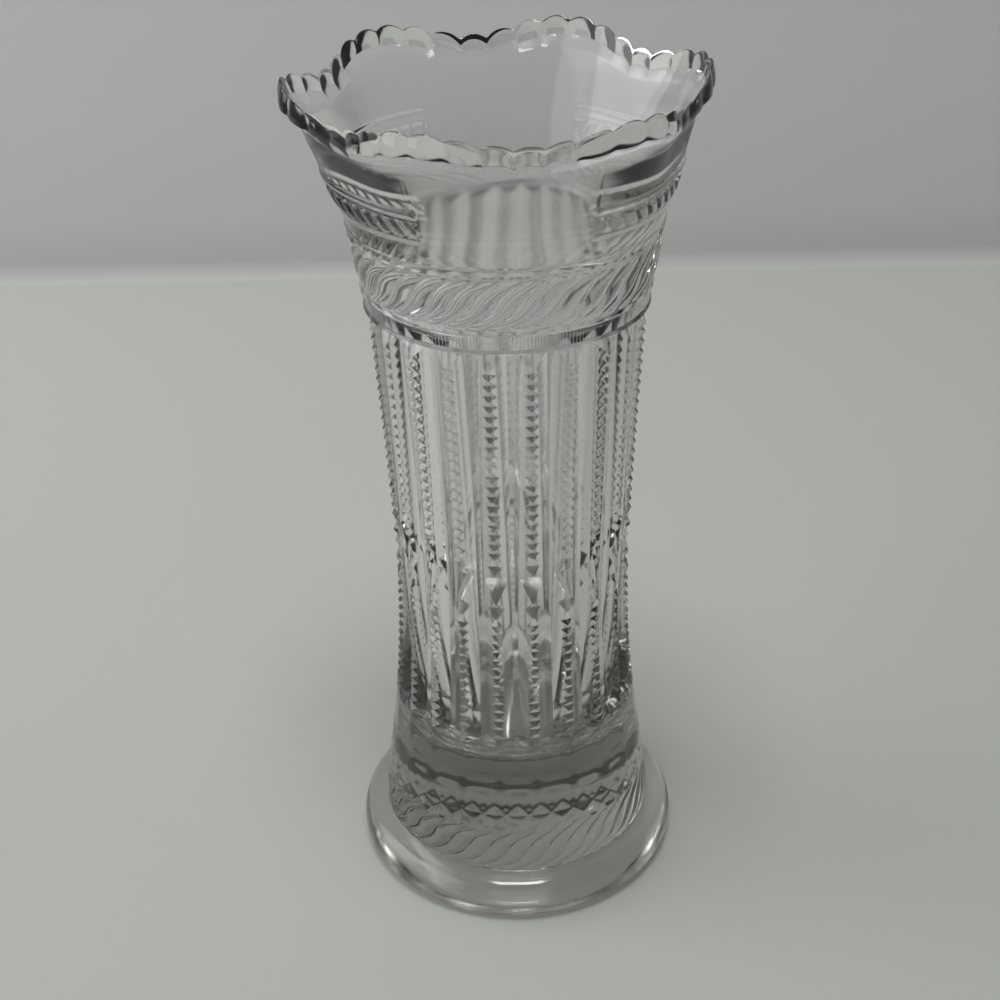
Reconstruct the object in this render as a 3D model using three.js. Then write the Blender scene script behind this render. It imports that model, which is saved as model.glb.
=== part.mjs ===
import * as THREE from "three";

// A pressed glass vase in its moulded zones, in millimetres, +Z up.
// The zones are stacked face to face on level planes round one tapered well, and the foot rests at Z = 0.
// Angles are measured from the front, -Y, towards +X.

// Heights of the zones, from the table up
const FOOT_HEIGHT = 14;
const SWIRL_HEIGHT = 14;
const PANEL_HEIGHT = 29;
const SHAFT_HEIGHT = 130;
const FINE_RING_HEIGHT = 7;
const ROPE_HEIGHT = 18.5;
const COLLAR_HEIGHT = 27;
const RIM_HEIGHT = 10.5;

// Outer radii at the levels between the zones, at the waist and in the middle of the collar.
// A rise is a height over the foot of its own zone, and a drop a depth under that zone's top.
const SKIRT_RADIUS = 42.6;
const SWIRL_TOP_RADIUS = 41.2;
const SHAFT_FOOT_RADIUS = 37.6;
const WAIST_RISE = 48;
const WAIST_RADIUS = 35.6;
const SHAFT_TOP_RADIUS = 39.4;
const ROPE_FOOT_RADIUS = 40.2;
const COLLAR_FOOT_RADIUS = 43.4;
const COLLAR_MIDDLE_RISE = 15.5;
const COLLAR_MIDDLE_RADIUS = 48.6;
const COLLAR_TOP_RADIUS = 53.2;
const RIM_RADIUS = 58.8;

// The well: nearly a cylinder in the shaft, with a rounded floor, and flared from inside the rope band up
const FLOOR_THICKNESS = 45;
const FLOOR_CORNER = 10;
const WELL_FOOT_RADIUS = 27.3;
const WELL_WAIST_RADIUS = 30.4;
const WELL_SHAFT_TOP_RADIUS = 32.8;
const FLARE_RISE = 9;
const FLARE_RADIUS = 33.6;
const WELL_COLLAR_FOOT_RADIUS = 36.7;
const WELL_COLLAR_MIDDLE_RADIUS = 45.1;
const WELL_COLLAR_TOP_RADIUS = 50.7;

// The foot: a thick round-edged disc, hollowed a little underneath
const FOOT_RADIUS = 50.3;
const FOOT_EDGE_RISE = 6.5;
const FOOT_UNDERCUT = 3;
const FOOT_SHOULDER_RISE = 10.4;
const FOOT_SHOULDER_IN = 2.3;
const FOOT_SHOULDER_DROP = 1.1;
const REST_WIDTH = 9;
const REST_HOLLOW = 1.2;

// The columns: prism ridges with a smooth strip between each two, and their saw teeth from the top down
const COLUMN_COUNT = 21;
const COLUMN_PHASE = 9.2;
const STRIP_SHARE = 0.17;
const RIDGE_DEPTH = 3;
const STRIP_RUN_OUT = 4.3;
const TOP_TOOTH_DROP = 5.2;
const UPPER_TEETH = { drop: 6.4, pitch: 3.144, length: 1.25, depth: 0.4 };
const WAIST_TEETH = [
  { rise: 62.6, length: 2.4, depth: 0.48 },
  { rise: 58, length: 7.4, depth: 0.84 },
  { rise: 48.4, length: 3, depth: 0.56 },
];
const LOWER_TEETH = { rise: 42.1, pitch: 3, length: 1.2, depth: 0.38 };

// The slanted strokes of the two rope bands
const STROKE_COUNT = 42;
const STROKE_SPAN = 25;
const STROKE_DEPTH = 1.3;
const SWIRL_SWELL = 0.4;
const ROPE_SWELL = 1;

// The ring of points over the lower rope, and the panels over that
const POINT_RING_HEIGHT = 9.2;
const POINT_RING_RELIEF = 0.8;
const PANEL_RISE = 12.2;
const PANEL_TOP = 20.6;
const PANEL_DEPTH = 0.5;
const PANEL_SHARE = 0.7;

// The fine ring: two thin plain mouldings with a hollow between them
const FINE_MOULDING = 1.2;
const FINE_RELIEF = 0.6;

// The collar: two clear windows, front and back, between two banded sides
const WINDOW_HALF_ANGLE = 28.5;
const WINDOW_PHASE = 0.6;
const MOULDING_RISE = 12.7;
const MOULDING_WIDTH = 2.2;
const MOULDING_RELIEF = 0.9;
const DENTIL_COUNT = 63;
const DENTIL_RISE = 7.1;
const DENTIL_HEIGHT = 4.4;
const DENTIL_RELIEF = 1;

// The rim: scalloped lobes of beads, drawn in and down at the notch between each two
const LOBE_COUNT = 6;
const BEADS_PER_LOBE = 7;
const NOTCH_PHASE = 8;
const LOBE_DROP = 4.1;
const BEAD_DIP = 1.5;
const BEAD_BULGE = 0.9;
const BEAD_HEIGHT = 5.8;
const BEAD_WALL = 4.6;
const BEAD_ROUND = 1.5;
const BEAD_OVERHANG = 0.4;
const PINCH = 3;

// How finely the round forms are cut
const PLAIN_STEPS = 63;
const STEPS_PER_STROKE = 3;
const STEPS_PER_BEAD = 4;
const STEPS_PER_PANEL = 4;
const STEPS_PER_DENTIL = 2;

const FULL_TURN = Math.PI * 2;
const radians = THREE.MathUtils.degToRad;

const SWIRL_BASE = FOOT_HEIGHT;
const PANEL_BASE = SWIRL_BASE + SWIRL_HEIGHT;
const SHAFT_BASE = PANEL_BASE + PANEL_HEIGHT;
const FINE_RING_BASE = SHAFT_BASE + SHAFT_HEIGHT;
const ROPE_BASE = FINE_RING_BASE + FINE_RING_HEIGHT;
const COLLAR_BASE = ROPE_BASE + ROPE_HEIGHT;
const RIM_BASE = COLLAR_BASE + COLLAR_HEIGHT;
const RIM_TOP = RIM_BASE + RIM_HEIGHT;
const WAIST_LEVEL = SHAFT_BASE + WAIST_RISE;
const FLARE_LEVEL = ROPE_BASE + FLARE_RISE;
const COLLAR_MIDDLE_LEVEL = COLLAR_BASE + COLLAR_MIDDLE_RISE;
const COLUMN_PITCH = FULL_TURN / COLUMN_COUNT;
const BEAD_COUNT = LOBE_COUNT * BEADS_PER_LOBE;

// The outline and the well are smooth curves through these radii at these levels
function curveThrough(knots) {
  return new THREE.CubicInterpolant(knots.map(([level]) => level), knots.map(([, radius]) => radius), 1);
}

const outlineCurve = curveThrough([
  [SWIRL_BASE, SKIRT_RADIUS],
  [PANEL_BASE, SWIRL_TOP_RADIUS],
  [SHAFT_BASE, SHAFT_FOOT_RADIUS],
  [WAIST_LEVEL, WAIST_RADIUS],
  [FINE_RING_BASE, SHAFT_TOP_RADIUS],
  [ROPE_BASE, ROPE_FOOT_RADIUS],
  [COLLAR_BASE, COLLAR_FOOT_RADIUS],
  [COLLAR_MIDDLE_LEVEL, COLLAR_MIDDLE_RADIUS],
  [RIM_BASE, COLLAR_TOP_RADIUS],
  [RIM_TOP, RIM_RADIUS],
]);

const wellCurve = curveThrough([
  [FLOOR_THICKNESS + FLOOR_CORNER, WELL_FOOT_RADIUS],
  [WAIST_LEVEL, WELL_WAIST_RADIUS],
  [FINE_RING_BASE, WELL_SHAFT_TOP_RADIUS],
  [FLARE_LEVEL, FLARE_RADIUS],
  [COLLAR_BASE, WELL_COLLAR_FOOT_RADIUS],
  [COLLAR_MIDDLE_LEVEL, WELL_COLLAR_MIDDLE_RADIUS],
  [RIM_BASE, WELL_COLLAR_TOP_RADIUS],
]);

function bodyRadius(height) {
  return outlineCurve.evaluate(height)[0];
}

function wellRadius(height) {
  return wellCurve.evaluate(height)[0];
}

function evenAngles(count, phaseInDegrees = 0) {
  return Array.from({ length: count }, (_, step) => radians(phaseInDegrees) + (FULL_TURN * step) / count);
}

// A ring is one row of points; its radius and height may each be a number or a function of the angle
function ring(angles, radius, height, twist = 0) {
  const valueAt = (value, angle) => (typeof value === "function" ? value(angle) : value);
  return angles.map((angle) => {
    const reach = valueAt(radius, angle);
    const turned = angle + twist;
    return [reach * Math.sin(turned), -reach * Math.cos(turned), valueAt(height, angle)];
  });
}

function pole(height) {
  return [[0, 0, height]];
}

// Skins the rings in order: up the outside and down the inside, closed on itself or from pole to pole.
// Each four-sided face is split along the diagonal that stands further out, so that teeth stay convex.
function loft(rings) {
  const points = [];
  const starts = rings.map((row) => {
    const start = points.length;
    points.push(...row);
    return start;
  });
  const reach = (a, b) => Math.hypot(points[a][0] + points[b][0], points[a][1] + points[b][1]);
  const faces = [];
  const joined = rings[0].length === 1 ? rings.length - 1 : rings.length;
  for (let index = 0; index < joined; index += 1) {
    const next = (index + 1) % rings.length;
    const count = Math.max(rings[index].length, rings[next].length);
    for (let step = 0; step < count; step += 1) {
      const after = (step + 1) % count;
      const [a, b] = [starts[index] + step, starts[index] + after];
      const [c, d] = [starts[next] + after, starts[next] + step];
      if (rings[index].length === 1) faces.push(starts[index], c, d);
      else if (rings[next].length === 1) faces.push(a, b, starts[next]);
      else if (reach(a, c) >= reach(b, d)) faces.push(a, b, c, a, c, d);
      else faces.push(a, b, d, b, c, d);
    }
  }
  const geometry = new THREE.BufferGeometry();
  geometry.setAttribute("position", new THREE.Float32BufferAttribute(points.flat(), 3));
  geometry.setIndex(faces);
  geometry.computeVertexNormals();
  return geometry;
}

// The inside of a zone that the well runs through, at these heights from its top down
function wellRings(angles, ...heights) {
  return heights.map((height) => ring(angles, wellRadius(height), height));
}

function footDisc() {
  const angles = evenAngles(PLAIN_STEPS);
  const restRadius = FOOT_RADIUS - FOOT_UNDERCUT;
  const profile = new THREE.CatmullRomCurve3([
    new THREE.Vector3(restRadius, 0, 0),
    new THREE.Vector3(FOOT_RADIUS, 0, FOOT_EDGE_RISE),
    new THREE.Vector3(FOOT_RADIUS, 0, FOOT_SHOULDER_RISE),
    new THREE.Vector3(FOOT_RADIUS - FOOT_SHOULDER_IN, 0, FOOT_HEIGHT - FOOT_SHOULDER_DROP),
    new THREE.Vector3(SKIRT_RADIUS, 0, FOOT_HEIGHT),
  ]);
  const lip = profile.getPoints(8).map((point) => ring(angles, point.x, point.z));
  return loft([
    pole(REST_HOLLOW),
    ring(angles, restRadius - REST_WIDTH - REST_HOLLOW, REST_HOLLOW),
    ring(angles, restRadius - REST_WIDTH, 0),
    ...lip,
    pole(FOOT_HEIGHT),
  ]);
}

// Rows of a rope band: each stroke is a rounded ridge that leans as it climbs
function strokeRings(angles, base, height, swell) {
  const rows = 5;
  const rings = [];
  for (let row = 0; row <= rows; row += 1) {
    const share = row / rows;
    const level = base + height * share;
    const fullness = Math.sin(Math.PI * share);
    const radiusAt = (angle) => {
      const wave = Math.abs(Math.cos((angle * STROKE_COUNT) / 2));
      return bodyRadius(level) + swell * fullness - STROKE_DEPTH * (1 - wave) * fullness;
    };
    rings.push(ring(angles, radiusAt, level, radians(STROKE_SPAN) * (share - 0.5)));
  }
  return rings;
}

function baseSwirl() {
  const angles = evenAngles(STROKE_COUNT * STEPS_PER_STROKE);
  const strokes = strokeRings(angles, SWIRL_BASE, SWIRL_HEIGHT, SWIRL_SWELL);
  return loft([pole(SWIRL_BASE), ...strokes, pole(PANEL_BASE)]);
}

function ropeBand() {
  const angles = evenAngles(STROKE_COUNT * STEPS_PER_STROKE);
  const inside = [COLLAR_BASE, (COLLAR_BASE + FLARE_LEVEL) / 2, FLARE_LEVEL, ROPE_BASE].map((height) => {
    const lean = radians(STROKE_SPAN) * ((height - ROPE_BASE) / ROPE_HEIGHT - 0.5);
    return ring(angles, wellRadius(height), height, lean);
  });
  return loft([...strokeRings(angles, ROPE_BASE, ROPE_HEIGHT, ROPE_SWELL), ...inside]);
}

function basePanels() {
  const angles = evenAngles(COLUMN_COUNT * STEPS_PER_PANEL, COLUMN_PHASE);
  const plain = (rise) => ring(angles, bodyRadius(PANEL_BASE + rise), PANEL_BASE + rise);
  const pointRise = POINT_RING_HEIGHT / 2;
  const pointed = plain(pointRise).map((point, index) => {
    const scale = index % 2 ? 1 : 1 + POINT_RING_RELIEF / bodyRadius(PANEL_BASE + pointRise);
    return [point[0] * scale, point[1] * scale, point[2]];
  });
  const panelled = (rise) => {
    const radiusAt = (angle) => {
      const turn = ((angle - radians(COLUMN_PHASE)) / COLUMN_PITCH) % 1;
      const recessed = Math.abs(turn - 0.5) < PANEL_SHARE / 2;
      return bodyRadius(PANEL_BASE + rise) - (recessed ? PANEL_DEPTH : 0);
    };
    return ring(angles, radiusAt, PANEL_BASE + rise);
  };
  const floor = [];
  const cornerSteps = 4;
  for (let step = 0; step <= cornerSteps; step += 1) {
    const sweep = (Math.PI / 2) * (step / cornerSteps);
    const radius = WELL_FOOT_RADIUS - FLOOR_CORNER * (1 - Math.cos(sweep));
    floor.push(ring(angles, radius, FLOOR_THICKNESS + FLOOR_CORNER * (1 - Math.sin(sweep))));
  }
  return loft([
    pole(PANEL_BASE),
    plain(0),
    pointed,
    plain(POINT_RING_HEIGHT),
    plain(PANEL_RISE - 1),
    panelled(PANEL_RISE),
    panelled(PANEL_TOP),
    plain(PANEL_TOP + 1),
    plain(PANEL_HEIGHT),
    ring(angles, wellRadius(SHAFT_BASE), SHAFT_BASE),
    ...floor,
    pole(FLOOR_THICKNESS),
  ]);
}

// Three points a column: the two edges of its ridge and the crest between them
function columnAngles() {
  const ridgeHalf = (COLUMN_PITCH * (1 - STRIP_SHARE)) / 2;
  return evenAngles(COLUMN_COUNT, COLUMN_PHASE).flatMap((crest) => [crest - ridgeHalf, crest, crest + ridgeHalf]);
}

function columnRing(angles, height, crestShare) {
  const valley = bodyRadius(height) - RIDGE_DEPTH;
  const points = ring(angles, valley, height);
  const crests = ring(angles, valley + RIDGE_DEPTH * crestShare, height);
  return points.map((point, index) => (index % 3 === 1 ? crests[index] : point));
}

// Every tooth of a column: the level of its root, where the notch is deepest, its length and that depth.
// The great teeth stand at the waist, and as many small ones as fit stand above and below them.
function columnTeeth() {
  const row = (root, lowest, { pitch, length, depth }) =>
    Array.from({ length: Math.round((root - lowest) / pitch) }, (_, step) => ({
      root: root - pitch * step,
      length,
      depth,
    }));
  const waist = WAIST_TEETH.map(({ rise, length, depth }) => ({ root: SHAFT_BASE + rise, length, depth }));
  return [
    ...row(FINE_RING_BASE - UPPER_TEETH.drop, waist[0].root, UPPER_TEETH),
    ...waist,
    ...row(SHAFT_BASE + LOWER_TEETH.rise, SHAFT_BASE + STRIP_RUN_OUT, LOWER_TEETH),
  ];
}

function columnShaft() {
  const angles = columnAngles();
  const teeth = columnTeeth().flatMap(({ root, length, depth }) => [
    columnRing(angles, root, 1 - depth),
    columnRing(angles, root - length, 1),
  ]);
  const wellLevels = [FINE_RING_BASE - 27, FINE_RING_BASE - 55, WAIST_LEVEL, WAIST_LEVEL - 25];
  return loft([
    ring(angles, bodyRadius(SHAFT_BASE), SHAFT_BASE),
    columnRing(angles, SHAFT_BASE + STRIP_RUN_OUT - 0.2, 1),
    ...teeth.reverse(),
    columnRing(angles, FINE_RING_BASE - TOP_TOOTH_DROP, 1),
    columnRing(angles, FINE_RING_BASE, 0),
    ...wellRings(angles, FINE_RING_BASE, ...wellLevels, SHAFT_BASE),
  ]);
}

function fineRing() {
  const angles = evenAngles(PLAIN_STEPS);
  const lower = FINE_RING_BASE + FINE_MOULDING;
  const upper = ROPE_BASE - FINE_MOULDING;
  return loft([
    ring(angles, bodyRadius(FINE_RING_BASE), FINE_RING_BASE),
    ring(angles, bodyRadius(lower) + FINE_RELIEF, (FINE_RING_BASE + lower) / 2),
    ring(angles, bodyRadius(lower), lower),
    ring(angles, bodyRadius(upper), upper),
    ring(angles, bodyRadius(upper) + FINE_RELIEF, (ROPE_BASE + upper) / 2),
    ring(angles, bodyRadius(ROPE_BASE), ROPE_BASE),
    ...wellRings(angles, ROPE_BASE, FINE_RING_BASE),
  ]);
}

// Whether an angle lies in one of the banded sides, clear of the two windows
function onBandedSide(angle) {
  const halfTurn = 180;
  const away = THREE.MathUtils.euclideanModulo(THREE.MathUtils.radToDeg(angle) - WINDOW_PHASE, halfTurn);
  return Math.min(away, halfTurn - away) > WINDOW_HALF_ANGLE;
}

function collar() {
  const angles = evenAngles(DENTIL_COUNT * STEPS_PER_DENTIL, WINDOW_PHASE);
  const plain = (height) => ring(angles, (angle) => drawnIn(bodyRadius(height), height, angle), height);
  const raised = (height, relief, everySecond) => {
    const outer = (angle) => drawnIn(bodyRadius(height) + (onBandedSide(angle) ? relief : 0), height, angle);
    const points = ring(angles, outer, height);
    const rest = plain(height);
    return points.map((point, index) => (everySecond && index % 2 ? rest[index] : point));
  };
  const dentilFoot = COLLAR_BASE + DENTIL_RISE;
  const mouldingFoot = COLLAR_BASE + MOULDING_RISE;
  const inside = [RIM_BASE, COLLAR_MIDDLE_LEVEL, (COLLAR_MIDDLE_LEVEL + COLLAR_BASE) / 2, COLLAR_BASE];
  return loft([
    plain(COLLAR_BASE),
    plain(dentilFoot),
    raised(dentilFoot + DENTIL_HEIGHT / 2, DENTIL_RELIEF, true),
    plain(dentilFoot + DENTIL_HEIGHT),
    plain(mouldingFoot),
    raised(mouldingFoot + MOULDING_WIDTH / 2, MOULDING_RELIEF, false),
    plain(mouldingFoot + MOULDING_WIDTH),
    plain((mouldingFoot + MOULDING_WIDTH + RIM_BASE) / 2),
    plain(RIM_BASE),
    ...inside.map((height) => ring(angles, (angle) => drawnIn(wellRadius(height), height, angle, 0.6), height)),
  ]);
}

// At an angle: how near it is to a notch, the fullness of its bead and the height of the scalloped edge
function rimShape(angle) {
  const beads = ((angle - radians(NOTCH_PHASE)) / FULL_TURN) * BEAD_COUNT;
  const nearness = (1 + Math.cos((FULL_TURN * beads) / BEADS_PER_LOBE)) / 2;
  const fullness = Math.abs(Math.cos(Math.PI * beads)) ** 0.7;
  return { nearness, fullness, top: RIM_TOP - LOBE_DROP * nearness - BEAD_DIP * (1 - fullness) };
}

// A radius drawn in near the notches, the more the higher it is in the collar
function drawnIn(radius, height, angle, share = 1) {
  const rise = THREE.MathUtils.smoothstep(height, COLLAR_BASE, RIM_TOP);
  return radius - PINCH * share * rise * rimShape(angle).nearness ** 1.5;
}

function scallopedRim() {
  const angles = evenAngles(BEAD_COUNT * STEPS_PER_BEAD, NOTCH_PHASE);
  const foot = (radius, share) => ring(angles, (angle) => drawnIn(radius, RIM_BASE, angle, share), RIM_BASE);
  // A row of the beaded edge: how far across it lies from its outside, and how far under its top
  const edge = (across, drop) => {
    const heightAt = (angle) => Math.max(rimShape(angle).top - drop, RIM_BASE + 0.2);
    const radiusAt = (angle) => {
      const shape = rimShape(angle);
      const middle = shape.top - BEAD_HEIGHT / 2;
      const bulge = BEAD_BULGE * (shape.fullness - 0.6) * (1 - across / BEAD_WALL);
      return drawnIn(bodyRadius(middle), middle, angle) + BEAD_OVERHANG - across + bulge;
    };
    return ring(angles, radiusAt, heightAt);
  };
  const inner = BEAD_WALL;
  return loft([
    foot(bodyRadius(RIM_BASE), 1),
    edge(BEAD_ROUND, BEAD_HEIGHT),
    edge(0, BEAD_HEIGHT - BEAD_ROUND),
    edge(0, BEAD_ROUND),
    edge(BEAD_ROUND, 0),
    edge(inner - BEAD_ROUND, 0),
    edge(inner, BEAD_ROUND),
    edge(inner, BEAD_HEIGHT - BEAD_ROUND),
    foot(wellRadius(RIM_BASE), 0.6),
  ]);
}

const vase = new THREE.Group();

function addZone(name, geometry, tint) {
  const glass = new THREE.MeshStandardMaterial({
    color: tint,
    roughness: 0.06,
    metalness: 0,
    transparent: true,
    opacity: 0.4,
  });
  const zone = new THREE.Mesh(geometry, glass);
  zone.name = name;
  vase.add(zone);
}

const CLEAR = 0xdfe3e0;
const THICK = 0x8d8f90;

addZone("foot_disc", footDisc(), THICK);
addZone("base_swirl", baseSwirl(), THICK);
addZone("base_panels", basePanels(), THICK);
addZone("column_shaft", columnShaft(), CLEAR);
addZone("fine_ring", fineRing(), CLEAR);
addZone("rope_band", ropeBand(), CLEAR);
addZone("collar", collar(), CLEAR);
addZone("scalloped_rim", scallopedRim(), CLEAR);

export default vase;
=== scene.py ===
"""Pressed glass vase: a Blender add-on that dresses the vase's solid frame, run here as a script.

The glass is one piece, as the real one is. Each ornament band is modelled as a tube of its own, and the
tubes are then bridged to each other and to the well, so that light passes through unbroken glass.
Angles are measured from the front, -Y, towards +X. Lengths are in metres.
"""

import math

import bpy
from bpy.props import FloatProperty, FloatVectorProperty, IntProperty, PointerProperty
from bpy.types import Operator, Panel, PropertyGroup
from mathutils import Matrix, Vector


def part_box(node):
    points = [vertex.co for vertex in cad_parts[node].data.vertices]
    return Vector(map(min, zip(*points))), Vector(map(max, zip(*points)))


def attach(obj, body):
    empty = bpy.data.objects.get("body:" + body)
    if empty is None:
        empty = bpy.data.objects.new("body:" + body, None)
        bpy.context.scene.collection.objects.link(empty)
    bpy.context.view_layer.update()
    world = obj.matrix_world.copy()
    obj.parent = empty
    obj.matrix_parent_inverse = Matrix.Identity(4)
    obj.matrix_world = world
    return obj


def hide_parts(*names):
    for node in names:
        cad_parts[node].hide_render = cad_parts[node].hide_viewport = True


bl_info = {
    "name": "Pressed glass vase",
    "version": (1, 0, 0),
    "blender": (4, 5, 0),
    "location": "View3D > Sidebar > Vase",
    "description": "Models a tall pressed glass vase round its solid frame",
    "category": "Add Mesh",
}

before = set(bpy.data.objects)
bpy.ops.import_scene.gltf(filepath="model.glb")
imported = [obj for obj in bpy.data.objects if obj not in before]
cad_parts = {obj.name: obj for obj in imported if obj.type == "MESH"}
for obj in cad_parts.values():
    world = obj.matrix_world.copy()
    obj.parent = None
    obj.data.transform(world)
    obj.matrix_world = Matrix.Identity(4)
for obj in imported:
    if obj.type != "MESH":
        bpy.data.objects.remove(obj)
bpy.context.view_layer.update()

MM = 0.001
FULL_TURN = 2 * math.pi
MERGE = 0.002 * MM

# Levels between the vase's zones, from the frame
FOOT_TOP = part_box("foot_disc")[1].z
SWIRL_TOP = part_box("base_swirl")[1].z
SHAFT_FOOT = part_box("column_shaft")[0].z
SHAFT_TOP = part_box("column_shaft")[1].z
ROPE_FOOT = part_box("rope_band")[0].z
COLLAR_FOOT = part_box("collar")[0].z
RIM_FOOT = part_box("scalloped_rim")[0].z
RIM_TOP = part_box("scalloped_rim")[1].z
FOOT_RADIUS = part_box("foot_disc")[1].x

# Points round a plain ring and round a ring that carries ornament
PLAIN_STEPS = 126
FINE_STEPS = 504


def length(name, description, millimetres):
    """A length property with its default in millimetres."""
    default = millimetres * MM
    return FloatProperty(name=name, description=description, default=default, unit="LENGTH")


def angle(name, description, degrees):
    """An angle property with its default in degrees."""
    default = math.radians(degrees)
    return FloatProperty(name=name, description=description, default=default, unit="ROTATION")


class VaseSizes(PropertyGroup):
    """Sizes of the vase's ornament and wall."""

    skirt_radius: length("Skirt radius", "Where the lower rope band meets the foot", 42.6)
    swirl_top_radius: length("Swirl top radius", "Top of the lower rope band", 41.2)
    shaft_foot_radius: length("Shaft foot radius", "Crests of the columns at their foot", 37.6)
    waist_radius: length("Waist radius", "Crests of the columns at the waist", 35.6)
    waist_level: length("Waist level", "Height of the waist", 105)
    shaft_top_radius: length("Shaft top radius", "Crests of the columns at their top", 39.4)
    rope_foot_radius: length("Rope foot radius", "Foot of the upper rope band", 40.2)
    collar_foot_radius: length("Collar foot radius", "Foot of the flared collar", 43.4)
    collar_middle_radius: length("Collar middle radius", "Collar above its mouldings", 48.6)
    collar_middle_level: length("Collar middle level", "Height of that middle", 228)
    collar_top_radius: length("Collar top radius", "Top of the collar, under the beads", 53.8)
    rim_radius: length("Rim radius", "Collar's flare carried on to the rim's top", 60.4)

    floor_level: length("Floor level", "Height of the well's floor", 45)
    floor_corner: length("Floor corner", "Radius of the well's rounded bottom edge", 10)
    column_count: IntProperty(name="Columns", description="Prism columns round the shaft", default=21)
    column_phase: angle("Column phase", "Where the first column's crest stands", 9.2)
    strip_share: FloatProperty(
        name="Strip share",
        description="Smooth strip as a share of a column",
        subtype="FACTOR",
        default=0.17,
    )
    ridge_depth: length("Ridge depth", "Depth of the strips under the crests", 3.0)
    crest_half: length("Crest half width", "Half the width of a ridge's flat crest", 0.35)

    stroke_count: IntProperty(name="Strokes", description="Strokes round each rope band", default=42)
    stroke_depth: length("Stroke depth", "Depth between the rope's strokes", 1.3)
    stroke_span: angle("Stroke span", "How far a stroke leans round the vase", 25)

    bead_count: IntProperty(
        name="Rim beads", description="Beads round the rim, notches among them", default=42
    )
    lobe_count: IntProperty(name="Lobes", description="Lobes of the rim", default=6)
    notch_phase: angle("Notch phase", "Where the first notch stands", 8.0)
    lobe_drop: length("Lobe drop", "How far the edge falls from a lobe to a notch", 4.4)
    bead_dip: length("Bead dip", "How far the edge dips between beads", 1.5)
    bead_bulge: length("Bead bulge", "How far the beads swell over the gaps between them", 1.0)
    rim_bead_height: length("Rim bead height", "Height of the beaded edge", 7.8)
    pinch: length("Pinch", "How far the rim is drawn in at a notch", 3.6)
    mouth_shift: length("Mouth shift", "How far the hand-finished mouth sits off the axis", -1.2)
    mouth_tilt: length("Mouth tilt", "How much higher the mouth's back is than its front", 2.3)

    window_half: angle("Window half angle", "Half the width of a clear window", 28.5)
    window_phase: angle("Window phase", "Middle of the front window", 0.6)
    dentil_count: IntProperty(name="Dentils", description="Small beads round the collar", default=63)
    dentil_relief: length("Dentil relief", "How far the small beads stand out", 1.0)
    moulding_relief: length("Moulding relief", "How far the collar's mouldings stand out", 0.9)
    rib_count: IntProperty(name="Fine ribs", description="Fine ribs round the vase", default=252)
    rib_relief: length("Rib relief", "How far the fine ribs stand out", 0.14)


class VaseColours(PropertyGroup):
    """Colours of the glass and of the stage."""

    glass: FloatVectorProperty(
        name="Glass", description="Tint of the glass", subtype="COLOR", default=(0.80, 0.797, 0.782)
    )
    table: FloatVectorProperty(
        name="Table", description="Pale table top", subtype="COLOR", default=(0.37, 0.38, 0.355)
    )
    wall: FloatVectorProperty(
        name="Wall", description="Pale wall behind", subtype="COLOR", default=(0.5, 0.496, 0.5)
    )


def spot(turn, radius, height):
    """A point by its angle from the front, its radius and its height."""
    return Vector((radius * math.sin(turn), -radius * math.cos(turn), height))


def smooth_step(low, high, value):
    """0 below low, 1 above high, and a smooth rise between them."""
    share = min(1, max(0, (value - low) / (high - low)))
    return share * share * (3 - 2 * share)


def smooth_through(knots, level):
    """The value at a level on a smooth curve through (level, value) knots."""
    if level <= knots[0][0]:
        return knots[0][1]
    if level >= knots[-1][0]:
        return knots[-1][1]
    last = len(knots) - 2
    index = max(i for i in range(last + 1) if knots[i][0] <= level)

    def slope(i):
        before, after = max(i - 1, 0), min(i + 1, last + 1)
        return (knots[after][1] - knots[before][1]) / (knots[after][0] - knots[before][0])

    (start, low), (end, high) = knots[index], knots[index + 1]
    step = end - start
    t = (level - start) / step
    return (
        (2 * t**3 - 3 * t**2 + 1) * low
        + (t**3 - 2 * t**2 + t) * step * slope(index)
        + (3 * t**2 - 2 * t**3) * high
        + (t**3 - t**2) * step * slope(index + 1)
    )


def body_radius(size, level):
    """Radius of the vase's outline at a level above the foot."""
    knots = (
        (FOOT_TOP, size.skirt_radius),
        (SWIRL_TOP, size.swirl_top_radius),
        (SHAFT_FOOT, size.shaft_foot_radius),
        (size.waist_level, size.waist_radius),
        (SHAFT_TOP, size.shaft_top_radius),
        (ROPE_FOOT, size.rope_foot_radius),
        (COLLAR_FOOT, size.collar_foot_radius),
        (size.collar_middle_level, size.collar_middle_radius),
        (RIM_FOOT + 1.5 * MM, size.collar_top_radius),
        (RIM_TOP, size.rim_radius),
    )
    return smooth_through(knots, level)


def spread(start, end, count):
    """Levels from start to end in equal steps, both ends included."""
    return [start + (end - start) * i / count for i in range(count + 1)]


def wrap_band(name, rings):
    """Bends a flat grid into a tube whose rows are these rings of points, and closes its seam."""
    steps = len(rings[0])
    bpy.ops.object.select_all(action="DESELECT")
    bpy.ops.mesh.primitive_grid_add(x_subdivisions=steps, y_subdivisions=len(rings) - 1)
    piece = bpy.context.object
    piece.name = name
    for vertex in piece.data.vertices:
        row, step = divmod(vertex.index, steps + 1)
        vertex.co = rings[row][step % steps]
    bpy.ops.object.mode_set(mode="EDIT")
    bpy.ops.mesh.select_all(action="SELECT")
    bpy.ops.mesh.remove_doubles(threshold=MERGE)
    bpy.ops.object.mode_set(mode="OBJECT")
    return piece


def soften(piece, sharper_than):
    """Shades the piece smooth, with its edges over this angle left crisp."""
    bpy.ops.object.select_all(action="DESELECT")
    piece.select_set(True)
    bpy.context.view_layer.objects.active = piece
    bpy.ops.object.shade_smooth_by_angle(angle=sharper_than)


def even_turns(count, phase=0.0):
    """Equal angles round the vase."""
    return [phase + FULL_TURN * i / count for i in range(count)]


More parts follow.
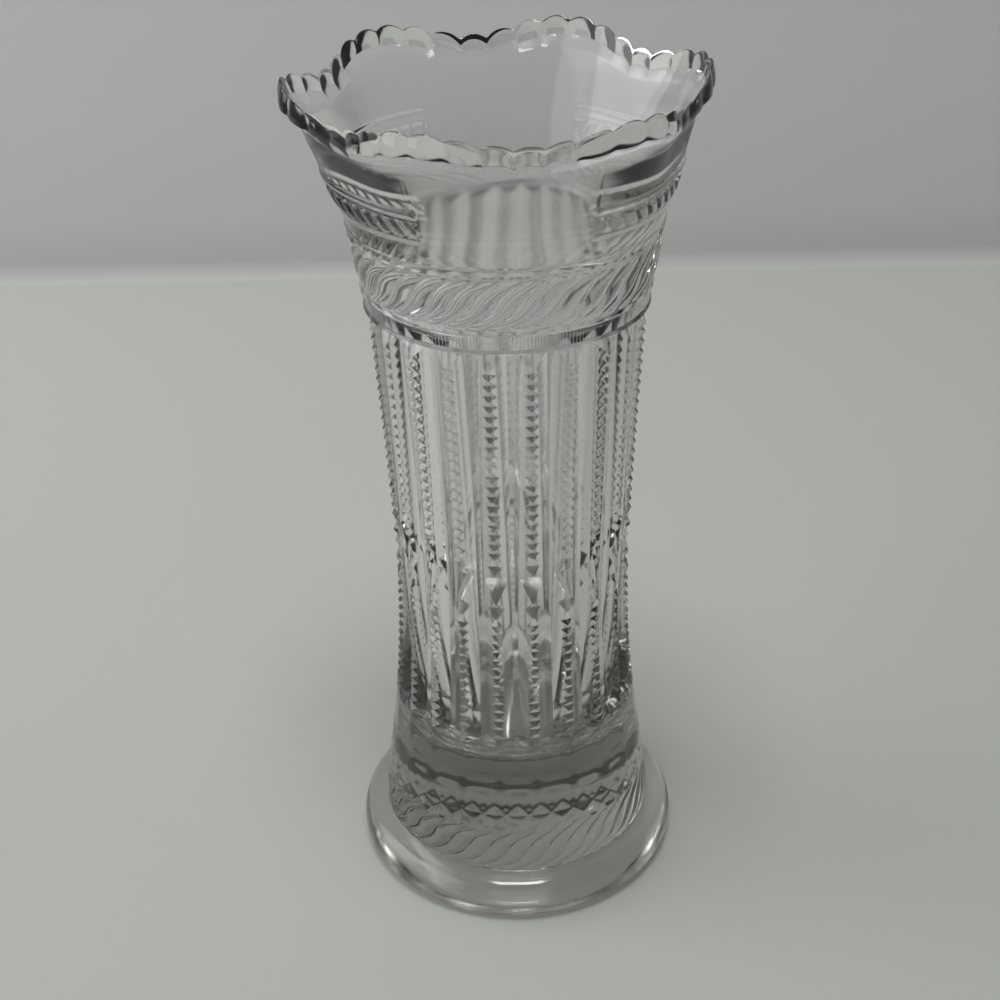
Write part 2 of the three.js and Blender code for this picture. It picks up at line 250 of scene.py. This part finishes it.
def plain_ring(radius, level, steps=FINE_STEPS):
    """A level circle of points."""
    return [spot(turn, radius, level) for turn in even_turns(steps)]


class VASE_OT_foot(Operator):
    """Turn the round-edged foot with its flat rest ring"""

    bl_idname = "vase.foot"
    bl_label = "Foot"

    def execute(self, context):
        rest = FOOT_RADIUS - 3.0 * MM
        hollow = 1.2 * MM
        profile = [
            (0, hollow),
            (rest - 20 * MM, hollow),
            (rest - 10 * MM, hollow),
            (rest - 9.2 * MM, 0.4 * hollow),
            (rest - 8.6 * MM, 0),
            (rest - 0.4 * MM, 0),
            (rest + 0.5 * MM, 0.4 * MM),
        ]
        edge = (
            (0.4, -2.5), (2.0, -1.2), (4.2, -0.3), (6.5, 0), (8.6, -0.25),
            (10.4, -0.9), (11.8, -2.0), (12.8, -3.3), (13.4, -4.8), (13.8, -6.3),
        )
        knots = [(level * MM, FOOT_RADIUS + reach * MM) for level, reach in edge]
        levels = spread(1.2 * MM, 12.6 * MM, 14) + [13.0 * MM, 13.4 * MM, 13.8 * MM]
        profile += [(smooth_through(knots, level), level) for level in levels]
        profile.append((FOOT_RADIUS - 7.2 * MM, FOOT_TOP))
        rings = [plain_ring(radius, level, PLAIN_STEPS) for radius, level in profile]
        foot = wrap_band("glass_foot", rings)
        soften(foot, math.radians(50))
        return {"FINISHED"}


def rope_rings(size, foot, top, rows, swell, depth):
    """Rows of a rope band: rounded strokes that lean as they climb and flatten at the band's edges."""
    edge_fade = 0.6
    curl = 0.09
    roundness = 0.8
    rings = []
    for row in range(rows + 1):
        share = row / rows
        level = foot + (top - foot) * share
        fullness = math.sin(math.pi * share) ** edge_fade if 0 < share < 1 else 0
        lean = size.stroke_span * (share - 0.5 + curl * math.sin(FULL_TURN * share))
        radius = body_radius(size, level) + swell * math.sin(math.pi * share)
        ring = []
        for turn in even_turns(FINE_STEPS):
            wave = abs(math.cos(turn * size.stroke_count / 2)) ** roundness
            ring.append(spot(turn + lean, radius - depth * fullness * (1 - wave), level))
        rings.append(ring)
    return rings


class VASE_OT_base_swirl(Operator):
    """Press the lower rope band into the skirt"""

    bl_idname = "vase.base_swirl"
    bl_label = "Lower rope band"

    def execute(self, context):
        size = context.scene.vase_sizes
        swell = 0.4 * MM
        depth = 0.45 * size.stroke_depth
        rings = rope_rings(size, FOOT_TOP, SWIRL_TOP, 13, swell, depth)
        swirl = wrap_band("glass_base_swirl", rings)
        soften(swirl, math.radians(40))
        return {"FINISHED"}


def diamond(across, up):
    """A staggered lattice of four-sided points: 1 on each point and 0 in the grooves."""
    across = abs((across % 1) - 0.5) * 2
    up = abs((up % 1) - 0.5) * 2
    return max(1 - across - up, across + up - 1)


class VASE_OT_base_panels(Operator):
    """Press the ring of points and the shallow panels above it"""

    bl_idname = "vase.base_panels"
    bl_label = "Points and panels"

    def execute(self, context):
        size = context.scene.vase_sizes
        point_foot = SWIRL_TOP + 0.2 * MM
        point_top = SWIRL_TOP + 8.0 * MM
        panel_foot = SWIRL_TOP + 12.0 * MM
        panel_top = SWIRL_TOP + 19.4 * MM
        ledge = SHAFT_FOOT - 5.0 * MM
        point_count = 36
        point_relief = 0.18 * MM
        panel_dish = 0.3 * MM
        rings = []
        levels = (
            [SWIRL_TOP + 0.1 * MM]
            + spread(point_foot, point_top, 16)
            + spread(panel_foot - 0.4 * MM, panel_top + 0.4 * MM, 14)
            + [ledge, SHAFT_FOOT]
        )
        for level in levels:
            radius = body_radius(size, level)
            facet_share = smooth_step(panel_top, ledge, level)
            ring = []
            for turn in even_turns(FINE_STEPS):
                relief = 0
                place = (turn - size.column_phase) * size.column_count / FULL_TURN
                across = abs((place % 1) - 0.5)
                if point_foot < level < point_top:
                    up = (level - point_foot) / (point_top - point_foot) + 0.25
                    relief = point_relief * diamond(turn * point_count / FULL_TURN, up)
                if panel_foot <= level <= panel_top:
                    up = abs(level - (panel_foot + panel_top) / 2) / (panel_top - panel_foot)
                    inside = 1 - smooth_step(0.15, 0.48, across)
                    relief = -panel_dish * inside * (1 - smooth_step(0.1, 0.5, up))
                slant = across * FULL_TURN / size.column_count
                facet = math.cos(math.pi / size.column_count) / math.cos(slant)
                flat = radius * (1 + (facet - 1) * facet_share)
                ring.append(spot(turn, flat + relief, level))
            rings.append(ring)
        panels = wrap_band("glass_base_panels", rings)
        soften(panels, math.radians(14))
        return {"FINISHED"}


def teeth(highest, pitch, count, depth, drop):
    """Equal notches one under the other, in mm: level of the root, depth and level of the crest."""
    roots = [highest - pitch * i for i in range(count)]
    return [(root, depth, root - drop) for root in roots]


def column_notches():
    """The notches across each ridge, from the top: level of the root, depth and level of the crest."""
    top_notch = [(186.8, 1.0, 181.8)]
    waist_notches = [(119.6, 0.48, 117.2), (115.0, 0.84, 107.6), (105.4, 0.56, 102.4)]
    upper_teeth = teeth(180.6, 3.144, 19, 0.4, 1.25)
    lower_teeth = teeth(99.1, 3.0, 14, 0.38, 1.2)
    notches = top_notch + upper_teeth + waist_notches + lower_teeth
    return [(root * MM, depth, crest * MM) for root, depth, crest in notches]


class VASE_OT_columns(Operator):
    """Press the prism columns with their notched crests"""

    bl_idname = "vase.columns"
    bl_label = "Columns"

    def execute(self, context):
        size = context.scene.vase_sizes
        pitch = FULL_TURN / size.column_count
        half = pitch * (1 - size.strip_share) / 2
        foot_spread = 0.96

        def column_ring(level, depth, run_out=0.0):
            outline = body_radius(size, level)
            crest_half = size.crest_half / outline
            reach = crest_half + (half - crest_half) * depth
            valley = outline - size.ridge_depth * (1 - run_out)
            flat = valley + (outline - valley) * (1 - depth)
            foot = half + (pitch / 2 - half) * foot_spread * run_out
            ring = []
            for crest in even_turns(size.column_count, size.column_phase):
                ring.append(spot(crest - foot, valley, level))
                ring.append(spot(crest - reach, flat, level))
                ring.append(spot(crest + reach, flat, level))
                ring.append(spot(crest + foot, valley, level))
                ring.append(spot(crest + pitch / 2, valley, level))
            return ring

        rings = [column_ring(SHAFT_TOP, 1.0)]
        for root, depth, crest in column_notches():
            rings.append(column_ring(root, depth, self.run_out(root)))
            rings.append(column_ring(crest, 0.0, self.run_out(crest)))
        rings.append(column_ring(SHAFT_FOOT + 0.3 * MM, 0.3, 1.0))
        rings.reverse()
        columns = wrap_band("glass_columns", rings)
        soften(columns, math.radians(12))
        return {"FINISHED"}

    def run_out(self, level):
        """How far the strips have risen to the outline near the columns' feet."""
        rise = 3.4 * MM
        return 1 - min(1, (level - SHAFT_FOOT) / rise)


class VASE_OT_fine_ring(Operator):
    """Press the finely ribbed ring between its two thin mouldings"""

    bl_idname = "vase.fine_ring"
    bl_label = "Fine ring"

    def execute(self, context):
        size = context.scene.vase_sizes
        rings = []
        rows = (
            (0.1, 0.2, 0), (0.6, 0.7, 0), (1.2, 0.2, 0), (1.5, -0.2, 0.5), (3.2, -0.2, 0.5),
            (5.2, -0.2, 0.5), (5.5, 0.2, 0), (6.1, 0.7, 0), (6.8, 0.2, 0),
        )
        for rise, relief, rib in rows:
            level = SHAFT_TOP + rise * MM
            radius = body_radius(size, level) + relief * MM
            turns = enumerate(even_turns(FINE_STEPS))
            rings.append([spot(turn, radius + rib * MM * (i % 2), level) for i, turn in turns])
        ring = wrap_band("glass_fine_ring", rings)
        soften(ring, math.radians(30))
        return {"FINISHED"}


class VASE_OT_rope_band(Operator):
    """Press the upper rope band and the two thin rings over it"""

    bl_idname = "vase.rope_band"
    bl_label = "Upper rope band"

    def execute(self, context):
        size = context.scene.vase_sizes
        rope_top = COLLAR_FOOT - 3.8 * MM
        rings = rope_rings(size, ROPE_FOOT + 0.1 * MM, rope_top, 18, 1.0 * MM, size.stroke_depth)
        thin_rings = ((0.2, 0.1), (0.7, 0.6), (1.2, 0.1), (2.4, 0.0), (2.8, 0.1), (3.2, 0.5), (3.6, 0.1))
        for rise, relief in thin_rings:
            level = rope_top + rise * MM
            rings.append(plain_ring(body_radius(size, level) + relief * MM, level))
        rope = wrap_band("glass_rope_band", rings)
        soften(rope, math.radians(45))
        return {"FINISHED"}


def rim_edge(size, turn):
    """At an angle: level of the edge without its beads, fullness of the bead and nearness to a notch."""
    count = (turn - size.notch_phase) / FULL_TURN * size.bead_count
    beads = size.bead_count / size.lobe_count
    scallop = abs(math.cos(math.pi * count)) ** 0.7
    nearness = (1 + math.cos(FULL_TURN * count / beads)) / 2
    return RIM_TOP - size.lobe_drop * nearness, scallop, nearness


def rim_section():
    """Rows of the beaded edge, from its foot outside, over the crest by the inner wall and down inside.

    Each row has the share of the wall's thickness that lies within, the drop under the crest in mm, how
    much the row follows the dips between the beads, and how much it swells with them.
    """
    crest_share = 0.2
    roll_drop = 4.4
    foot_row = (1, 5.9, -0.2, 0.5)
    inner_rows = [
        (0.1, 0.15, 0.9, 0), (0.03, 0.6, 0.6, 0), (0, 1.4, 0.2, 0), (0, 3, 0, 0), (0, 5.5, 0, 0),
    ]
    rows = [foot_row]
    for sweep in spread(math.pi / 2, 0, 9):
        across = math.sin(sweep)
        share = crest_share + (1 - crest_share) * across
        rows.append((share, roll_drop * (1 - math.cos(sweep)), 1 - across**2, across))
    return rows + inner_rows


def mouth_spot(size, turn, radius, level):
    """A point of the collar or rim, moved with the slightly askew mouth."""
    point = spot(turn, radius, level)
    rise = smooth_step(COLLAR_FOOT, RIM_TOP, level)
    tilt = size.mouth_tilt * (1 + point.y / size.rim_radius) / 2
    return point + Vector((size.mouth_shift * rise, 0, tilt * rise))


def collar_relief(size, turn, level):
    """How far the collar's mouldings, small beads and fine ribs stand out at a point."""
    away = (turn - size.window_phase) % math.pi
    away = min(away, math.pi - away)
    side = smooth_step(size.window_half - math.radians(0.8), size.window_half + math.radians(0.4), away)
    if side == 0:
        return 0
    rise = (level - COLLAR_FOOT) / MM

    def ridge(middle, half, height):
        reach = (rise - middle) / half
        return height * (1 - reach * reach) ** 0.5 if abs(reach) < 1 else 0

    relief = ridge(6.2, 0.7, 0.5 * size.moulding_relief) + ridge(13.8, 1.1, size.moulding_relief)
    back_share = 0.35 + 0.65 * smooth_step(-0.5, 0.1, math.cos(turn))
    dentil_level, dentil_half_width, dentil_half_height = 9.3, 0.43, 2.2
    lean = 0.3 * (rise - dentil_level) / 2.1
    place = turn * size.dentil_count / FULL_TURN + lean
    across = abs((place % 1) - 0.5) / dentil_half_width
    up = abs(rise - dentil_level) / dentil_half_height
    if across < 1 and up < 1:
        relief += size.dentil_relief * ((1 - across**3) * (1 - up**4)) ** 0.5
    if 15.4 < rise < 23.6:
        relief += size.rib_relief * (round(turn * size.rib_count * 2 / FULL_TURN) % 2)
    return relief * side * back_share


class VASE_OT_collar(Operator):
    """Press the flared collar with its banded sides, and the beaded rim"""

    bl_idname = "vase.collar"
    bl_label = "Collar and rim"

    def execute(self, context):
        size = context.scene.vase_sizes
        turns = even_turns(FINE_STEPS)
        edges = [rim_edge(size, turn) for turn in turns]
        band_top = COLLAR_FOOT + 15.0 * MM
        rib_foot = COLLAR_FOOT + 15.5 * MM
        rib_top = COLLAR_FOOT + 23.5 * MM
        levels = [COLLAR_FOOT + 0.1 * MM, COLLAR_FOOT + 2.0 * MM, COLLAR_FOOT + 4.6 * MM]
        levels += spread(COLLAR_FOOT + 5.4 * MM, band_top, 22)
        levels += spread(rib_foot, rib_top, 3) + [rib_top + 0.4 * MM]
        rings = []

        def outline(level, nearness):
            drawn_in = size.pinch * nearness**1.5 * smooth_step(COLLAR_FOOT, RIM_TOP, level)
            return body_radius(size, level) - drawn_in

        for level in levels:
            ring = []
            for turn, (_, _, nearness) in zip(turns, edges):
                radius = outline(level, nearness) + collar_relief(size, turn, level)
                ring.append(mouth_spot(size, turn, radius, level))
            rings.append(ring)
        neck = levels[-1]
        mean_scallop = 0.7
        for share in (0.4, 0.8, 1.0):
            ring = []
            for turn, (top, _, nearness) in zip(turns, edges):
                level = neck + (top - size.rim_bead_height - neck) * share
                ring.append(mouth_spot(size, turn, outline(level, nearness), level))
            rings.append(ring)
        for share, drop, follow, swelling in rim_section():
            ring = []
            for turn, (top, scallop, nearness) in zip(turns, edges):
                level = top - drop * MM - size.bead_dip * (1 - scallop) * follow
                outer = outline(top - 4 * MM, nearness)
                inner = mouth_wall(size, turn, level)
                bulge = size.bead_bulge * (scallop - mean_scallop) * swelling
                ring.append(mouth_spot(size, turn, inner + (outer - inner) * share + bulge, level))
            rings.append(ring)
        level = RIM_FOOT - 2.0 * MM
        rings.append([mouth_spot(size, turn, mouth_wall(size, turn, level), level) for turn in turns])
        collar = wrap_band("glass_collar", rings)
        soften(collar, math.radians(45))
        return {"FINISHED"}


def well_radius(size, level):
    """Radius of the smooth tapered well at a level."""
    knots = (
        (55, 27.3), (67, 28.2), (81, 29.5), (100, 30.3), (120, 30.8), (150, 31.6),
        (187, 32.8), (202, 33.3), (207, 33.7), (212, 35.0), (217, 37.3), (222, 40.2),
        (227, 43.3), (232, 46.4), (237, 49.4), (241, 51.6), (246, 54.2), (250, 56.2),
    )
    return smooth_through([(a * MM, b * MM) for a, b in knots], level)


def mouth_wall(size, turn, level):
    """Radius of the well's wall in the mouth, drawn in near the notches."""
    nearness = rim_edge(size, turn)[2]
    drawn_in = 0.6 * size.pinch * nearness**1.5 * smooth_step(COLLAR_FOOT, RIM_TOP, level)
    return well_radius(size, level) - drawn_in


class VASE_OT_well(Operator):
    """Turn the smooth tapered well with its rounded floor"""

    bl_idname = "vase.well"
    bl_label = "Well"

    def execute(self, context):
        size = context.scene.vase_sizes
        top = RIM_FOOT - 3.0 * MM
        corner = size.floor_corner
        side_foot = size.floor_level + corner
        turns = even_turns(PLAIN_STEPS)
        rings = []
        for level in spread(top, side_foot, 44):
            rings.append([mouth_spot(size, turn, mouth_wall(size, turn, level), level) for turn in turns])
        floor_radius = well_radius(size, 0)
        corner_steps = 12
        for step in range(1, corner_steps + 1):
            sweep = math.pi / 2 * step / corner_steps
            radius = floor_radius - corner * (1 - math.cos(sweep))
            level = side_foot - corner * math.sin(sweep)
            rings.append(plain_ring(radius, level, PLAIN_STEPS))
        for radius in (8 * MM, 0):
            rings.append(plain_ring(radius, size.floor_level, PLAIN_STEPS))
        well = wrap_band("glass_well", rings)
        soften(well, math.radians(50))
        return {"FINISHED"}


BANDS = ("foot", "base_swirl", "base_panels", "columns", "fine_ring", "rope_band", "collar", "well")


def open_points(piece):
    """Indices of the points on the open ends of a piece's tubes."""
    uses = {}
    for polygon in piece.data.polygons:
        for key in polygon.edge_keys:
            uses[key] = uses.get(key, 0) + 1
    return {point for key, count in uses.items() if count == 1 for point in key}


class VASE_OT_fuse(Operator):
    """Bridge the bands, the foot and the well into one closed piece of glass"""

    bl_idname = "vase.fuse"
    bl_label = "Fuse the glass"

    def execute(self, context):
        bpy.ops.object.select_all(action="DESELECT")
        for name in BANDS:
            bpy.data.objects["glass_" + name].select_set(True)
        glass = bpy.data.objects["glass_" + BANDS[0]]
        context.view_layer.objects.active = glass
        bpy.ops.object.join()
        glass.name = "pressed_glass"
        near = 0.3 * MM
        joints = (
            (FOOT_TOP - near, FOOT_TOP + near),
            (SWIRL_TOP - near, SWIRL_TOP + near),
            (SHAFT_FOOT - 0.1 * MM, SHAFT_FOOT + 0.5 * MM),
            (SHAFT_TOP - near, SHAFT_TOP + near),
            (ROPE_FOOT - near, ROPE_FOOT + near),
            (COLLAR_FOOT - near, COLLAR_FOOT + near),
            (RIM_FOOT - 5 * MM, RIM_FOOT + 1 * MM),
        )
        ends = open_points(glass)
        for low, high in joints:
            bpy.ops.object.mode_set(mode="EDIT")
            bpy.ops.mesh.select_mode(type="VERT")
            bpy.ops.mesh.select_all(action="DESELECT")
            bpy.ops.object.mode_set(mode="OBJECT")
            for index in ends:
                vertex = glass.data.vertices[index]
                vertex.select = low <= vertex.co.z <= high
            bpy.ops.object.mode_set(mode="EDIT")
            bpy.ops.mesh.select_mode(type="EDGE")
            bpy.ops.mesh.bridge_edge_loops()
            bpy.ops.object.mode_set(mode="OBJECT")
        bpy.ops.object.mode_set(mode="EDIT")
        bpy.ops.mesh.select_all(action="SELECT")
        bpy.ops.mesh.normals_make_consistent(inside=False)
        bpy.ops.object.mode_set(mode="OBJECT")
        if open_points(glass):
            raise RuntimeError("the glass isn't closed")
        glass.data.materials.clear()
        glass.data.materials.append(clear_glass(context.scene.vase_colours))
        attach(glass, "root")
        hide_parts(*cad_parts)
        return {"FINISHED"}


def clear_glass(colours):
    """Clear pressed glass with a faint warm grey tint that deepens where the glass is thick."""
    material = bpy.data.materials.new("clear_glass")
    material.use_nodes = True
    nodes, links = material.node_tree.nodes, material.node_tree.links
    output = nodes["Material Output"]
    shader = nodes["Principled BSDF"]
    shader.inputs["Base Color"].default_value = (1, 1, 1, 1)
    shader.inputs["Roughness"].default_value = 0.09
    shader.inputs["IOR"].default_value = 1.5
    shader.inputs["Transmission Weight"].default_value = 1
    clear = nodes.new("ShaderNodeBsdfTransparent")
    clear.inputs["Color"].default_value = (0.36, 0.36, 0.36, 1)
    rays = nodes.new("ShaderNodeLightPath")
    mix = nodes.new("ShaderNodeMixShader")
    links.new(rays.outputs["Is Shadow Ray"], mix.inputs["Fac"])
    links.new(shader.outputs["BSDF"], mix.inputs[1])
    links.new(clear.outputs["BSDF"], mix.inputs[2])
    links.new(mix.outputs["Shader"], output.inputs["Surface"])
    tint = nodes.new("ShaderNodeVolumeAbsorption")
    tint.inputs["Color"].default_value = (*colours.glass, 1)
    tint.inputs["Density"].default_value = 47
    links.new(tint.outputs["Volume"], output.inputs["Volume"])
    return material


def plain_finish(name, colour):
    """A matt finish of one colour."""
    material = bpy.data.materials.new(name)
    material.use_nodes = True
    shader = material.node_tree.nodes["Principled BSDF"]
    shader.inputs["Base Color"].default_value = (*colour, 1)
    shader.inputs["Roughness"].default_value = 0.6
    shader.inputs["Specular IOR Level"].default_value = 0.2
    return material


def graded_finish(name, axis, low, high, stops):
    """A matt finish whose colour changes along one axis, by stops of a share of the way and a colour."""
    material = plain_finish(name, stops[0][1])
    nodes, links = material.node_tree.nodes, material.node_tree.links
    place = nodes.new("ShaderNodeTexCoord")
    axes = nodes.new("ShaderNodeSeparateXYZ")
    links.new(place.outputs["Object"], axes.inputs["Vector"])
    way = nodes.new("ShaderNodeMapRange")
    way.inputs["From Min"].default_value = low
    way.inputs["From Max"].default_value = high
    links.new(axes.outputs[axis], way.inputs["Value"])
    ramp = nodes.new("ShaderNodeValToRGB")
    for share, _ in stops[1:-1]:
        ramp.color_ramp.elements.new(share)
    for element, (share, colour) in zip(ramp.color_ramp.elements, stops):
        element.position = share
        element.color = (*colour, 1)
    links.new(way.outputs["Result"], ramp.inputs["Fac"])
    links.new(ramp.outputs["Color"], nodes["Principled BSDF"].inputs["Base Color"])
    return material


class VASE_OT_stage(Operator):
    """Set the table, the wall, the lamps and the camera"""

    bl_idname = "vase.stage"
    bl_label = "Stage"

    def execute(self, context):
        colours = context.scene.vase_colours
        table_back = 0.485
        table_front = -0.6
        half_width = 0.8
        air_gap = 0.15 * MM
        cove = 10 * MM
        wall_height = 1.6
        bpy.ops.object.select_all(action="DESELECT")
        bpy.ops.mesh.primitive_plane_add(size=1)
        table = context.object
        table.name = "table"
        middle = Vector((0, (table_back + table_front) / 2, -air_gap))
        spans = Matrix.Diagonal((2 * half_width, table_back - table_front, 1, 1))
        table.data.transform(Matrix.Translation(middle) @ spans)
        # Painted light: the table's colour grows 15 % lighter from under the vase towards the wall.
        far_table_painted_light = [1.15 * part for part in colours.table]
        table_stops = [(0, colours.table), (1, far_table_painted_light)]
        table.data.materials.append(graded_finish("table", "Y", 0, table_back, table_stops))
        rows = []
        for sweep in spread(0, math.pi / 2, 8):
            rows.append((table_back + cove * math.sin(sweep), cove * (1 - math.cos(sweep)) - air_gap))
        rows.append((table_back + cove, wall_height))
        bpy.ops.mesh.primitive_grid_add(x_subdivisions=1, y_subdivisions=len(rows) - 1)
        wall = context.object
        wall.name = "wall"
        for vertex in wall.data.vertices:
            row, side = divmod(vertex.index, 2)
            vertex.co = (half_width * (2 * side - 1), *rows[row])
        # The cove blends from the table's colour into the wall's, and the wall's foot is painted darker:
        # 0.76 of its colour 3 mm up, fading out by 100 mm. This is painted shade where the wall meets the
        # table.
        wall_stops = [(0, far_table_painted_light)]
        for share, painted_light_share in ((0.03, 0.76), (0.1, 0.88), (0.35, 0.965), (1, 1)):
            wall_stops.append((share, [painted_light_share * part for part in colours.wall]))
        wall.data.materials.append(graded_finish("wall", "Z", 0, 10 * cove, wall_stops))
        soften(wall, math.radians(30))

        world = bpy.data.worlds.new("studio")
        world.use_nodes = True
        world.node_tree.nodes["Background"].inputs["Color"].default_value = (0.18, 0.18, 0.18, 1)
        world.node_tree.nodes["Background"].inputs["Strength"].default_value = 1
        context.scene.world = world

        self.lamp("ceiling_lamp", (0, -0.45, 2.0), (0, 0, 0), 0.7, 25)
        self.lamp("window_lamp", (-1.5, -0.3, 0.8), (0, 0, 0.1), 1.8, 14)
        self.lamp("side_lamp", (-1.1, 0.2, 0.75), (0, 0, 0.1), 0.8, 4)

        self.camera(context)
        context.scene.view_settings.view_transform = "Standard"
        return {"FINISHED"}

    def lamp(self, name, place, target, side, watts):
        """A square soft lamp that faces a target."""
        bpy.ops.object.light_add(type="AREA", location=place)
        lamp = bpy.context.object
        lamp.name = name
        lamp.data.size = side
        lamp.data.energy = watts
        lamp.rotation_euler = (Vector(target) - Vector(place)).to_track_quat("-Z", "Y").to_euler()

    def camera(self, context):
        """The camera at the photograph's place, found by fitting the vase's outline."""
        place = Vector((0, -0.4161, 0.3590))
        tilt = math.radians(29.69)
        roll = math.radians(-1.41)
        pan = math.radians(-0.46)
        bpy.ops.object.camera_add()
        camera = context.object
        camera.name = "camera"
        level_turn = Matrix.Rotation(-pan, 4, "Z") @ Matrix.Rotation(math.pi / 2 - tilt, 4, "X")
        turn = level_turn @ Matrix.Rotation(roll, 4, "Z")
        camera.matrix_world = Matrix.Translation(place) @ turn
        camera.data.sensor_width = 36
        camera.data.lens = 57.6
        camera.data.clip_start = 0.01
        context.scene.camera = camera


class VASE_PT_panel(Panel):
    """Buttons that build the vase"""

    bl_label = "Pressed glass vase"
    bl_space_type = "VIEW_3D"
    bl_region_type = "UI"
    bl_category = "Vase"

    def draw(self, context):
        for step in STEPS:
            self.layout.operator(step.bl_idname)


STEPS = (
    VASE_OT_foot,
    VASE_OT_base_swirl,
    VASE_OT_base_panels,
    VASE_OT_columns,
    VASE_OT_fine_ring,
    VASE_OT_rope_band,
    VASE_OT_collar,
    VASE_OT_well,
    VASE_OT_fuse,
    VASE_OT_stage,
)
CLASSES = (VaseSizes, VaseColours, *STEPS, VASE_PT_panel)


def register():
    for item in CLASSES:
        bpy.utils.register_class(item)
    bpy.types.Scene.vase_sizes = PointerProperty(type=VaseSizes)
    bpy.types.Scene.vase_colours = PointerProperty(type=VaseColours)


def unregister():
    del bpy.types.Scene.vase_colours
    del bpy.types.Scene.vase_sizes
    for item in reversed(CLASSES):
        bpy.utils.unregister_class(item)


def main():
    """Builds everything in order."""
    register()
    for step in STEPS:
        getattr(bpy.ops.vase, step.bl_idname.split(".")[1])()


if __name__ == "__main__":
    main()
